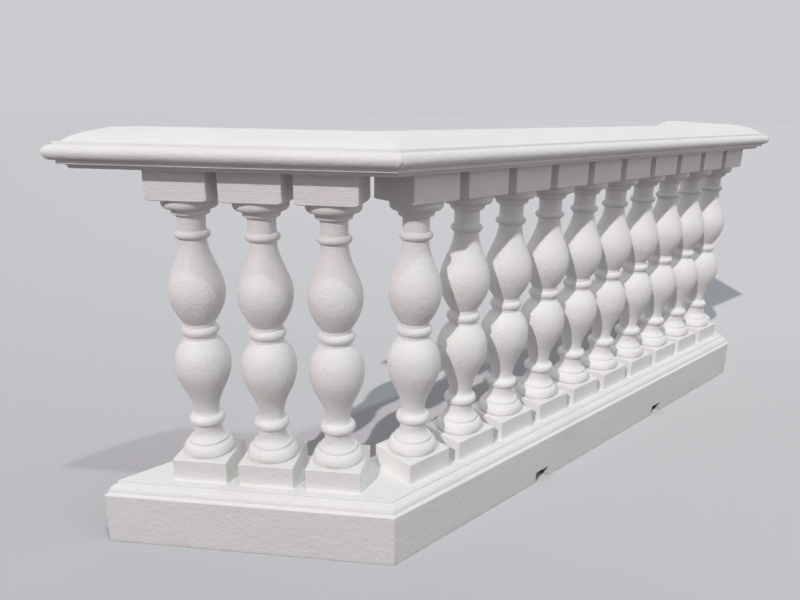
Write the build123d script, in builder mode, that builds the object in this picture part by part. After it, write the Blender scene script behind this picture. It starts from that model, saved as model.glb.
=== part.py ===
from build123d import *
import os
from math import cos, pi, radians, sin, tan

# Stone balustrade on a splayed plan: a front run, mitred to two short legs
# that fold back to a wall. Each run has a hollow base rail that stands on the
# ground, turned balusters with square end blocks, and a moulded top rail.
# Frame: millimetres, +Z up, +X along the front run, +Y back to the wall,
# with the origin on the ground in the middle of the whole outline.

# Plan, measured on the front face of the base rail
FRONT_LENGTH = 1920.0
WALL_DEPTH = 567.0
TURN_ANGLE = 48.0

# Heights above the ground
TOTAL_HEIGHT = 1067.0
BASE_HEIGHT = 168.0
RAIL_HEIGHT = 90.0

# Balusters along the runs. Each offset is from a run's outer corner, or from
# its end at the wall, to the middle of the nearest baluster.
FRONT_COUNT = 10
FRONT_LEFT_OFFSET = 167.0
FRONT_RIGHT_OFFSET = 119.5
LEG_COUNT = 3
LEG_CORNER_OFFSET = 167.0
LEG_WALL_OFFSET = 242.0

# Base rail section
BASE_WIDTH = 246.0
BASE_WALL = 18.0
BASE_CROWN = 26.0
BASE_LEDGE_WIDTH = 8.0
BASE_LEDGE_FALL = 4.0
BASE_OVOLO_RADIUS = 18.0
BASE_FILLET_HEIGHT = 7.0
BASE_FILLET_SET = 1.5

# Weep notches through the front wall of the base rail
NOTCH_WIDTH = 62.0
NOTCH_HEIGHT = 36.0
NOTCH_SPACING = 708.0

# Top rail section
NOSE_RADIUS = 17.5
NOSE_OVERHANG = 25.5
SOFFIT_INSET = 13.0
COVE_RUN = 6.0
COVE_RISE = 9.0
COVE_RADIUS = 10.0
LOWER_FILLET_HEIGHT = 9.5
UPPER_FILLET_HEIGHT = 7.0
LEDGE_WIDTH = 11.0
CAMBER_BOW = 5.2
TABLE_WIDTH = 72.0
TABLE_RISE = 3.5
TABLE_EASE = 6.0

# The two stones of the front top rail meet over this baluster, short of its middle
BUTT_BALUSTER = 5
BUTT_OFFSET = 30.0

# Baluster end blocks
FOOT_BLOCK_WIDTH = 145.0
FOOT_BLOCK_HEIGHT = 60.0
HEAD_BLOCK_WIDTH = 150.0
HEAD_BLOCK_HEIGHT = 73.0

# A baluster is turned round. Here it is cut in flats, measured to the flat,
# and its curves in chords, so that all sixteen stay light.
FLAT_COUNT = 12
BULB_CHORDS = 3

# Baluster turning, from the foot block up to the waist ring
TORUS_RADIUS = 69.0
TORUS_HEIGHT = 32.0
TORUS_EASE = 9.0
COLLAR_RADIUS = 54.0
COLLAR_HEIGHT = 6.0
FLARE_HEIGHT = 37.0
FLARE_BEND_RADIUS = 40.0
FLARE_BEND_HEIGHT = 9.0
LOWER_NECK_RADIUS = 35.5
LOWER_RING_RADIUS = 45.5
LOWER_RING_HEIGHT = 35.0
LOWER_STEM_RADIUS = 32.0
LOWER_BULB_RADIUS = 71.0
LOWER_BULB_SHARE = 0.492
WAIST_RADIUS = 39.0
WAIST_RING_RADIUS = 47.0
WAIST_RING_HEIGHT = 40.0
RING_EASE = 8.0

# Baluster turning, from the waist ring up to the head block
UPPER_BULB_RADIUS = 69.5
UPPER_STEM_RADIUS = 32.5
UPPER_RING_RADIUS = 42.5
UPPER_RING_HEIGHT = 24.0
UPPER_NECK_RADIUS = 33.5
UPPER_NECK_HEIGHT = 29.0
CAVETTO_HEIGHT = 9.0
HEAD_COLLAR_RADIUS = 44.5
HEAD_COLLAR_HEIGHT = 6.0
ECHINUS_RADIUS = 64.0
ECHINUS_HEIGHT = 31.0
ECHINUS_BEND_RADIUS = 59.0
ECHINUS_BEND_HEIGHT = 9.0

# Both bulbs: how far up the bulb its widest place lies, seen from the waist,
# and how full its round side is
BULB_CREST = 0.37
BULB_FULLNESS = 2.2

# Plan and levels worked out from the sizes above
turn = radians(TURN_ANGLE)
half_front = FRONT_LENGTH / 2
half_base = BASE_WIDTH / 2
nose_edge = half_base + NOSE_OVERHANG
front_y = (NOSE_OVERHANG - WALL_DEPTH) / 2
wall_y = front_y + WALL_DEPTH
rail_bottom = TOTAL_HEIGHT - RAIL_HEIGHT
foot_top = BASE_HEIGHT + FOOT_BLOCK_HEIGHT
head_bottom = rail_bottom - HEAD_BLOCK_HEIGHT
front_pitch = (FRONT_LENGTH - FRONT_LEFT_OFFSET - FRONT_RIGHT_OFFSET) / (FRONT_COUNT - 1)
leg_length = WALL_DEPTH / sin(turn)
leg_pitch = (leg_length - LEG_CORNER_OFFSET - LEG_WALL_OFFSET) / (LEG_COUNT - 1)
butt_x = FRONT_LEFT_OFFSET + (BUTT_BALUSTER - 1) * front_pitch - BUTT_OFFSET - half_front
left_corner = Vector(-half_front, front_y, 0)
leg_out = Vector(-cos(turn), sin(turn), 0)
leg_in = Vector(sin(turn), cos(turn), 0)

# A rail's section stands square to its run, centred on the run's middle line.
# The stock for each rail starts and ends past its cuts.
front_stock = FRONT_LENGTH + 2 * nose_edge
leg_stock = leg_length + 3 * nose_edge
front_section = Plane(
    origin=(-front_stock / 2, front_y + half_base, 0), x_dir=(0, 1, 0), z_dir=(1, 0, 0)
)
leg_section = Plane(
    origin=left_corner + leg_in * half_base - leg_out * nose_edge, x_dir=-leg_in, z_dir=leg_out
)

# Cutting planes: the mitres halve the corners, the wall plane ends the legs
mitre_tilt = tan(turn / 2)
left_mitre = Plane(origin=left_corner, x_dir=(0, 0, 1), z_dir=(1, -mitre_tilt, 0))
right_mitre = Plane(origin=(half_front, front_y, 0), x_dir=(0, 0, 1), z_dir=(1, mitre_tilt, 0))
wall_plane = Plane(origin=(0, wall_y, 0), x_dir=(1, 0, 0), z_dir=(0, 1, 0))
butt_plane = Plane(origin=(butt_x, 0, 0), x_dir=(0, 1, 0), z_dir=(1, 0, 0))

os.makedirs("parts", exist_ok=True)


def write_part(builder, name):
    """Label a finished piece and write its file."""
    builder.part.label = name
    export_step(builder.part, f"parts/{name}.step")


# Base rail section: plain face, sloped ledge, ovolo, fillet and flat top,
# hollow inside and open to the ground
ovolo_foot = half_base - BASE_LEDGE_WIDTH
ovolo_head = ovolo_foot - BASE_OVOLO_RADIUS
base_fillet = ovolo_head - BASE_FILLET_SET
ovolo_top = BASE_HEIGHT - BASE_FILLET_HEIGHT
base_ledge = ovolo_top - BASE_OVOLO_RADIUS
hollow_half = half_base - BASE_WALL
hollow_top = BASE_HEIGHT - BASE_CROWN

with BuildSketch() as base_section:
    with BuildLine():
        Polyline((0, 0), (half_base, 0), (half_base, base_ledge - BASE_LEDGE_FALL), (ovolo_foot, base_ledge))
        RadiusArc((ovolo_foot, base_ledge), (ovolo_head, ovolo_top), -BASE_OVOLO_RADIUS)
        Polyline(
            (ovolo_head, ovolo_top), (base_fillet, ovolo_top), (base_fillet, BASE_HEIGHT),
            (0, BASE_HEIGHT), (0, 0),
        )
    make_face()
    with BuildLine():
        Polyline(
            (0, 0), (hollow_half, 0), (hollow_half, hollow_top - BASE_WALL),
            (hollow_half - BASE_WALL, hollow_top), (0, hollow_top), (0, 0),
        )
    make_face(mode=Mode.SUBTRACT)
    mirror(about=Plane.YZ)

with BuildPart() as base_rail_front:
    with BuildSketch(front_section):
        add(base_section.sketch)
    extrude(amount=front_stock)
    split(bisect_by=left_mitre, keep=Keep.TOP)
    split(bisect_by=right_mitre, keep=Keep.BOTTOM)
    with BuildSketch(Plane(origin=(0, front_y, 0), x_dir=(1, 0, 0), z_dir=(0, -1, 0))):
        with GridLocations(NOTCH_SPACING, 0, 2, 1):
            Rectangle(NOTCH_WIDTH, NOTCH_HEIGHT, align=(Align.CENTER, Align.MIN))
    extrude(amount=-BASE_WALL, mode=Mode.SUBTRACT)
write_part(base_rail_front, "base_rail_front")

with BuildPart() as base_rail_left:
    with BuildSketch(leg_section):
        add(base_section.sketch)
    extrude(amount=leg_stock)
    split(bisect_by=left_mitre, keep=Keep.BOTTOM)
    split(bisect_by=wall_plane, keep=Keep.BOTTOM)
write_part(base_rail_left, "base_rail_left")

with BuildPart() as base_rail_right:
    mirror(base_rail_left.part, about=Plane.YZ)
write_part(base_rail_right, "base_rail_right")

# Top rail section: soffit, cove, fillet, bullnose, fillet, ledge and a
# cambered top that rises to a raised flat table
soffit_edge = half_base - SOFFIT_INSET
cove_edge = soffit_edge + COVE_RUN
cove_top = rail_bottom + COVE_RISE
nose_line = nose_edge - NOSE_RADIUS
nose_bottom = cove_top + LOWER_FILLET_HEIGHT
nose_top = nose_bottom + 2 * NOSE_RADIUS
rail_ledge = nose_top + UPPER_FILLET_HEIGHT
ledge_edge = nose_line - LEDGE_WIDTH
table_edge = TABLE_WIDTH / 2
table_foot = TOTAL_HEIGHT - TABLE_RISE

with BuildSketch() as rail_section:
    with BuildLine():
        Line((0, rail_bottom), (soffit_edge, rail_bottom))
        RadiusArc((soffit_edge, rail_bottom), (cove_edge, cove_top), COVE_RADIUS)
        Polyline((cove_edge, cove_top), (nose_line, cove_top), (nose_line, nose_bottom))
        ThreePointArc(
            (nose_line, nose_bottom), (nose_edge, nose_bottom + NOSE_RADIUS), (nose_line, nose_top)
        )
        Polyline((nose_line, nose_top), (nose_line, rail_ledge), (ledge_edge, rail_ledge))
        SagittaArc((ledge_edge, rail_ledge), (table_edge + TABLE_EASE, table_foot), -CAMBER_BOW)
        Polyline(
            (table_edge + TABLE_EASE, table_foot), (table_edge, TOTAL_HEIGHT),
            (0, TOTAL_HEIGHT), (0, rail_bottom),
        )
    make_face()
    mirror(about=Plane.YZ)

with BuildPart() as top_rail_front_left:
    with BuildSketch(front_section):
        add(rail_section.sketch)
    extrude(amount=front_stock)
    split(bisect_by=left_mitre, keep=Keep.TOP)
    split(bisect_by=butt_plane, keep=Keep.BOTTOM)
write_part(top_rail_front_left, "top_rail_front_left")

with BuildPart() as top_rail_front_right:
    with BuildSketch(front_section):
        add(rail_section.sketch)
    extrude(amount=front_stock)
    split(bisect_by=right_mitre, keep=Keep.BOTTOM)
    split(bisect_by=butt_plane, keep=Keep.TOP)
write_part(top_rail_front_right, "top_rail_front_right")

with BuildPart() as top_rail_left:
    with BuildSketch(leg_section):
        add(rail_section.sketch)
    extrude(amount=leg_stock)
    split(bisect_by=left_mitre, keep=Keep.BOTTOM)
    split(bisect_by=wall_plane, keep=Keep.BOTTOM)
write_part(top_rail_left, "top_rail_left")

with BuildPart() as top_rail_right:
    mirror(top_rail_left.part, about=Plane.YZ)
write_part(top_rail_right, "top_rail_right")

# Baluster levels, from the foot block up and from the head block down
torus_top = foot_top + TORUS_HEIGHT
collar_top = torus_top + COLLAR_HEIGHT
lower_ring = collar_top + FLARE_HEIGHT
lower_stem = lower_ring + LOWER_RING_HEIGHT
echinus_foot = head_bottom - ECHINUS_HEIGHT
cavetto_top = echinus_foot - HEAD_COLLAR_HEIGHT
cavetto_foot = cavetto_top - CAVETTO_HEIGHT
upper_ring_top = cavetto_foot - UPPER_NECK_HEIGHT
upper_stem = upper_ring_top - UPPER_RING_HEIGHT

# The two bulbs share the height that the mouldings leave
bulb_height = upper_stem - lower_stem - WAIST_RING_HEIGHT
lower_waist = lower_stem + bulb_height * LOWER_BULB_SHARE
upper_waist = lower_waist + WAIST_RING_HEIGHT


def draw_ring(low_radius, low, high_radius, high, ring_radius, ease):
    """Draw a ring with eased edges that stands out between two levels."""
    Polyline((low_radius, low), (ring_radius, low + ease), (ring_radius, high - ease), (high_radius, high))


def draw_bulb(waist, stem, crest_radius, stem_radius):
    """Draw a vase-shaped bulb: round near the waist, drawn in to a slim stem."""
    crest = waist + (stem - waist) * BULB_CREST
    places = [index / BULB_CHORDS for index in range(BULB_CHORDS + 1)]
    swell = crest_radius - WAIST_RADIUS
    draw_in = crest_radius - stem_radius
    Polyline([(crest_radius - swell * t**BULB_FULLNESS, crest + (waist - crest) * t) for t in places])
    Polyline([(stem_radius + draw_in * (1 + cos(pi * t)) / 2, crest + (stem - crest) * t) for t in places])


# One stave of the turning, as wide as a flat
with BuildPart() as stave:
    with BuildSketch(Plane.XZ):
        with BuildLine():
            torus_foot = TORUS_RADIUS - TORUS_EASE
            Polyline((0, head_bottom), (0, foot_top), (torus_foot, foot_top))
            draw_ring(torus_foot, foot_top, COLLAR_RADIUS, torus_top, TORUS_RADIUS, TORUS_EASE)
            Polyline(
                (COLLAR_RADIUS, torus_top), (COLLAR_RADIUS, collar_top),
                (FLARE_BEND_RADIUS, collar_top + FLARE_BEND_HEIGHT), (LOWER_NECK_RADIUS, lower_ring),
            )
            draw_ring(
                LOWER_NECK_RADIUS, lower_ring, LOWER_STEM_RADIUS, lower_stem, LOWER_RING_RADIUS, RING_EASE
            )
            draw_bulb(lower_waist, lower_stem, LOWER_BULB_RADIUS, LOWER_STEM_RADIUS)
            draw_ring(WAIST_RADIUS, lower_waist, WAIST_RADIUS, upper_waist, WAIST_RING_RADIUS, RING_EASE)
            draw_bulb(upper_waist, upper_stem, UPPER_BULB_RADIUS, UPPER_STEM_RADIUS)
            draw_ring(
                UPPER_STEM_RADIUS, upper_stem, UPPER_NECK_RADIUS, upper_ring_top, UPPER_RING_RADIUS, RING_EASE
            )
            Polyline(
                (UPPER_NECK_RADIUS, upper_ring_top), (UPPER_NECK_RADIUS, cavetto_foot),
                (HEAD_COLLAR_RADIUS, cavetto_top), (HEAD_COLLAR_RADIUS, echinus_foot),
                (ECHINUS_BEND_RADIUS, echinus_foot + ECHINUS_BEND_HEIGHT), (ECHINUS_RADIUS, head_bottom),
                (0, head_bottom),
            )
        make_face()
    extrude(amount=LOWER_BULB_RADIUS, both=True)
    flat_half = 180 / FLAT_COUNT
    split(bisect_by=Plane.XZ.rotated((0, 0, flat_half)), keep=Keep.TOP)
    split(bisect_by=Plane.XZ.rotated((0, 0, -flat_half)), keep=Keep.BOTTOM)

with BuildPart() as baluster:
    with PolarLocations(0, FLAT_COUNT):
        add(stave.part)
    with Locations((0, 0, BASE_HEIGHT)):
        Box(
            FOOT_BLOCK_WIDTH, FOOT_BLOCK_WIDTH, FOOT_BLOCK_HEIGHT,
            align=(Align.CENTER, Align.CENTER, Align.MIN),
        )
    with Locations((0, 0, head_bottom)):
        Box(
            HEAD_BLOCK_WIDTH, HEAD_BLOCK_WIDTH, HEAD_BLOCK_HEIGHT,
            align=(Align.CENTER, Align.CENTER, Align.MIN),
        )


def stand_baluster(place, angle, trim, name):
    """Stand a copy of the baluster square to its run, with its blocks cut at the run's end."""
    with BuildPart() as standing:
        with Locations(Location(place, (0, 0, angle))):
            add(baluster.part)
        split(bisect_by=trim, keep=Keep.BOTTOM)
    write_part(standing, name)


for index in range(FRONT_COUNT):
    reach = FRONT_LEFT_OFFSET + index * front_pitch
    place = (reach - half_front, front_y + half_base, 0)
    stand_baluster(place, 0, right_mitre, f"baluster_front_{index + 1}")

for index in range(LEG_COUNT):
    place = left_corner + leg_out * (LEG_CORNER_OFFSET + index * leg_pitch) + leg_in * half_base
    stand_baluster((place.X, place.Y, 0), -TURN_ANGLE, wall_plane, f"baluster_left_{index + 1}")
    stand_baluster((-place.X, place.Y, 0), TURN_ANGLE, wall_plane, f"baluster_right_{index + 1}")
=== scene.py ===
import logging
import math
from collections.abc import Callable, Iterator, Sequence
from contextlib import contextmanager
from dataclasses import dataclass, field
from enum import Enum
from functools import partial

import bmesh
import bpy
import numpy as np
from mathutils import Matrix, Vector


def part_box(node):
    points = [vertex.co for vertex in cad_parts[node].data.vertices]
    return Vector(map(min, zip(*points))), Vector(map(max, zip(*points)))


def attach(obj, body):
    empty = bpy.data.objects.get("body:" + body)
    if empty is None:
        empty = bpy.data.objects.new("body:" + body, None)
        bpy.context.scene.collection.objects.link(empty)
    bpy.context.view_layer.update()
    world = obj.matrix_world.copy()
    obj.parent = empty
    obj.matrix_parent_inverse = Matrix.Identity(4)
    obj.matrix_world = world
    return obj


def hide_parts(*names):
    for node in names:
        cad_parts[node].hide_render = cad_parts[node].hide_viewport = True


# The looks of a stone balustrade: ten turned balusters between a hollow base
# rail and a moulded top rail, mitred to two short legs that fold back to a
# wall. Cast stone under a sprayed white masonry coat. Sections are written in
# millimetres, and every mesh is built in metres where the solids stand.

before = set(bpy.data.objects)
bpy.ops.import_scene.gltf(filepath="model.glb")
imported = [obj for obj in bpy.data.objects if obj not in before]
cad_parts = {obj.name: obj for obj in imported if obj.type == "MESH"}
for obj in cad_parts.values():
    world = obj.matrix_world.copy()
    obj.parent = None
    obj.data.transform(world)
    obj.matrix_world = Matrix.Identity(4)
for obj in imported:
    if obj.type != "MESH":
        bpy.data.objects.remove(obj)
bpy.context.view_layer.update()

MM = 0.001
SHARP_ANGLE = 38.0  # degrees, from where on an edge isn't shaded smooth

Point = tuple[float, float]
Triple = tuple[float, float, float]
Colour = tuple[float, float, float, float]
Profile = list[Point]
AddNode = Callable[..., bpy.types.Node]

log = logging.getLogger("balustrade")


# Nodes


class Kind(Enum):
    """The kinds of node that the finishes and the light are wired from."""

    PLACE = "ShaderNodeTexCoord"
    NOISE = "ShaderNodeTexNoise"
    CELLS = "ShaderNodeTexVoronoi"
    WAVES = "ShaderNodeTexWave"
    SPLIT = "ShaderNodeSeparateXYZ"
    RANGE = "ShaderNodeMapRange"
    MIX = "ShaderNodeMix"
    MATH = "ShaderNodeMath"
    VECTOR = "ShaderNodeVectorMath"
    BUMP = "ShaderNodeBump"
    RAY = "ShaderNodeLightPath"
    SHEEN = "ShaderNodeBsdfPrincipled"
    MATTE = "ShaderNodeBsdfDiffuse"
    AIR = "ShaderNodeBackground"
    MATERIAL = "ShaderNodeOutputMaterial"
    WORLD = "ShaderNodeOutputWorld"


def to_linear(hex_colour: str) -> Colour:
    """Turn an sRGB colour, six hex digits after a hash, into linear light with an alpha of one."""
    channels = [int(hex_colour[start : start + 2], 16) / 255 for start in (1, 3, 5)]
    red, green, blue = (c / 12.92 if c <= 0.04045 else ((c + 0.055) / 1.055) ** 2.4 for c in channels)
    return red, green, blue, 1.0


def add_node(tree: bpy.types.NodeTree, kind: Kind, inputs: dict | None = None, **settings) -> bpy.types.Node:
    """Add a node with its settings and links.

    Args:
        tree: The node tree that takes the node.
        kind: The kind of node.
        inputs: What each input takes, by its name or index: a value, an output,
            or a node, which stands for its first output in use.
        **settings: The node's own settings.

    Returns:
        The new node.
    """
    node = tree.nodes.new(kind.value)
    for name, value in settings.items():
        setattr(node, name, value)
    for socket, value in (inputs or {}).items():
        if isinstance(value, bpy.types.Node):
            value = next(output for output in value.outputs if output.enabled)
        if isinstance(value, bpy.types.NodeSocket):
            tree.links.new(value, node.inputs[socket])
        else:
            node.inputs[socket].default_value = value
    return node


def open_tree(owner: bpy.types.Material | bpy.types.World) -> AddNode:
    """Empty the node tree of a material or a world, and give back add_node for it."""
    owner.use_nodes = True
    owner.node_tree.nodes.clear()
    return partial(add_node, owner.node_tree)


def looked_at(add: AddNode) -> bpy.types.Node:
    """One for rays that come from the camera, straight or by reflection, and nothing for bounced light."""
    path = add(Kind.RAY)
    rays = {0: path.outputs["Is Camera Ray"], 1: path.outputs["Is Glossy Ray"]}
    return add(Kind.MATH, rays, operation="MAXIMUM")


def scale(size: float) -> float:
    """The scale of a pattern whose marks are that many millimetres across."""
    return 1 / (size * MM)


# Outlines in millimetres


def arc(centre: Point, radius: float, start: float, stop: float, steps: int) -> Profile:
    """Points along an arc of a circle from one angle to another in degrees, both ends included."""
    angles = [math.radians(start + (stop - start) * step / steps) for step in range(steps + 1)]
    return [(centre[0] + radius * math.cos(angle), centre[1] + radius * math.sin(angle)) for angle in angles]


def bend(start: Point, pull: Point, stop: Point, steps: int) -> Profile:
    """Points along a curve that leaves its start towards a pull and arrives at its stop from there."""
    return [
        tuple((1 - t) ** 2 * a + 2 * t * (1 - t) * b + t * t * c for a, b, c in zip(start, pull, stop))
        for t in (step / steps for step in range(steps + 1))
    ]


def soften(outline: Profile, ease: float) -> Profile:
    """Round the corners of an open outline as a sprayed coat does.

    Args:
        outline: The outline with sharp corners.
        ease: How far from a corner the rounding starts, in millimetres.

    Returns:
        The outline with each corner as a short curve between two support points.
    """
    least_turn = 24.0  # corners that turn by fewer degrees stay
    most_cut = 0.36  # the share of a side that one rounding may take
    support = 1.3  # how far out the support points lie, as a share of the cut
    points = [Vector(point) for point in outline]
    softened = [tuple(points[0])]
    for before, point, after in zip(points, points[1:], points[2:]):
        sides = before - point, after - point
        shortest = min(side.length for side in sides)
        if shortest < 1e-6 or 180 - math.degrees(sides[0].angle(sides[1])) < least_turn:
            softened.append(tuple(point))
            continue
        back, ahead = (side.normalized() * min(ease, most_cut * side.length) for side in sides)
        softened.append(tuple(point + back * support))
        softened += bend(tuple(point + back), tuple(point), tuple(point + ahead), 4)
        softened.append(tuple(point + ahead * support))
    return [*softened, tuple(points[-1])]


def divide(outline: Profile, step: float, closed: bool = False) -> Profile:
    """Add points on the long sides of an outline, so that a surface can undulate.

    Args:
        outline: The outline to divide.
        step: The longest side that is left undivided, in millimetres.
        closed: Whether the last point joins the first.

    Returns:
        The outline with the added points.
    """
    divided: Profile = []
    following = outline[1:] + outline[:1] if closed else outline[1:]
    for (x0, y0), (x1, y1) in zip(outline, following):
        parts = max(1, math.ceil(math.hypot(x1 - x0, y1 - y0) / step))
        divided += [(x0 + (x1 - x0) * part / parts, y0 + (y1 - y0) * part / parts) for part in range(parts)]
    return divided if closed else [*divided, outline[-1]]


def mirrored(half: Profile, width: float) -> Profile:
    """The back half of a section of that width, mirrored from its front half and in reverse order."""
    return [(width - depth, height) for depth, height in reversed(half)]


def outward_normals(outline: np.ndarray) -> np.ndarray:
    """Unit normals at the points of a closed outline, one row each, pointing away from the material."""
    ahead, behind = np.roll(outline, -1, axis=0), np.roll(outline, 1, axis=0)
    tangents = ahead - behind
    tangents /= np.linalg.norm(tangents, axis=1, keepdims=True)
    area = np.sum(outline[:, 0] * ahead[:, 1] - ahead[:, 0] * outline[:, 1])
    return np.stack([tangents[:, 1], -tangents[:, 0]], axis=1) * math.copysign(1.0, area)


@dataclass(frozen=True)
class Unevenness:
    """How far a hand-finished surface wanders from true.

    Attributes:
        depth: The deepest hollow, in millimetres. The surface never rises above true.
        length: The usual length of its waves, in millimetres.
        seed: What makes each piece its own.
        waves: How many waves run through each other.
    """

    depth: float
    length: float
    seed: int
    waves: int = 14

    def at(self, points: np.ndarray) -> np.ndarray:
        """Depth below true in millimetres, at places in millimetres, one row each."""
        dice = np.random.default_rng(self.seed)
        total = np.zeros(points.shape[:-1])
        for _ in range(self.waves):
            direction = dice.normal(size=3)
            direction /= np.linalg.norm(direction)
            length = self.length * dice.uniform(0.6, 1.8)
            total += np.sin(points @ direction * 2 * math.pi / length + dice.uniform(0, 2 * math.pi))
        # The sum seldom passes 1.1 times the root of their number either way
        return self.depth * np.clip(0.5 + total / (2.2 * math.sqrt(self.waves)), 0, 1)


# Plan


@dataclass(frozen=True)
class Run:
    """One straight run of the plan, measured in millimetres from its outer corner.

    Attributes:
        corner: The outer corner on the ground.
        along: The direction away from the corner.
        inward: The direction from the face to the back.
    """

    corner: Vector
    along: Vector
    inward: Vector

    def place(self, station: np.ndarray, depth: np.ndarray, height: np.ndarray) -> np.ndarray:
        """Points as rows of x, y and z, from their station, their depth behind the face and their height."""
        corner, along, inward = (np.array(v) for v in (self.corner, self.along, self.inward))
        ground = corner + station[..., None] * along + depth[..., None] * inward
        return ground + height[..., None] * np.array([0.0, 0.0, 1.0])


class Cut(Enum):
    """How a rail ends."""

    MITRE = "mitre at a corner, coated over, with an eased arris"
    WALL = "flat cut at the wall, with a sharper arris"
    BUTT = "square joint to the next stone, filled and coated"


@dataclass(frozen=True)
class End:
    """One end of a rail.

    Attributes:
        cut: How the rail ends there.
        reach: The station of the end on the face of the base rail, in millimetres.
        skew: How far the end moves along the run for each millimetre behind the face.
    """

    cut: Cut
    reach: float
    skew: float

    def stations(self, depth: np.ndarray) -> np.ndarray:
        """Stations of the end at the given depths behind the face."""
        return self.reach + self.skew * depth


class Plan:
    """The plan of the balustrade in millimetres, read from the solids.

    Attributes:
        wall: How far back the wall is.
        turn: The angle that each leg turns through, in radians.
        mitre: How far a mitre moves along a run for each millimetre behind the face.
        front, left, right: The runs.
        near_mitre, far_mitre, wall_end, butt_end: The ends of the rails.
    """

    def __init__(self) -> None:
        """Work out the runs and the ends."""
        low, high = (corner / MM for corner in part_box("base_rail_front"))
        leg_low, leg_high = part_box("base_rail_left")
        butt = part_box("top_rail_front_left")[1].x / MM
        self.wall = leg_high.y / MM
        rise, reach = self.wall - low.y, low.x - (leg_low / MM).x
        self.turn = math.atan2(rise, reach)
        self.mitre = math.tan(self.turn / 2)
        side, back = math.sin(self.turn), math.cos(self.turn)
        left_corner, right_corner = (Vector((x, low.y, 0)) for x in (low.x, high.x))
        self.front = Run(left_corner, Vector((1, 0, 0)), Vector((0, 1, 0)))
        self.left = Run(left_corner, Vector((-back, side, 0)), Vector((side, back, 0)))
        self.right = Run(right_corner, Vector((back, side, 0)), Vector((-side, back, 0)))
        self.near_mitre = End(Cut.MITRE, 0.0, self.mitre)
        self.far_mitre = End(Cut.MITRE, high.x - low.x, -self.mitre)
        self.wall_end = End(Cut.WALL, rise / side, -back / side)
        self.butt_end = End(Cut.BUTT, butt - low.x, 0.0)


# Finishes


class Finish:
    """A finish, wired from each place in the object to one shader."""

    name: str

    def shader(self, add: AddNode, place: bpy.types.NodeSocket) -> bpy.types.Node:
        """Wire the nodes from the place up to the shader."""
        raise NotImplementedError

    def material(self) -> bpy.types.Material:
        """Build the node material."""
        made = bpy.data.materials.new(self.name)
        add = open_tree(made)
        add(Kind.MATERIAL, {"Surface": self.shader(add, add(Kind.PLACE).outputs["Object"])})
        return made


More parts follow.
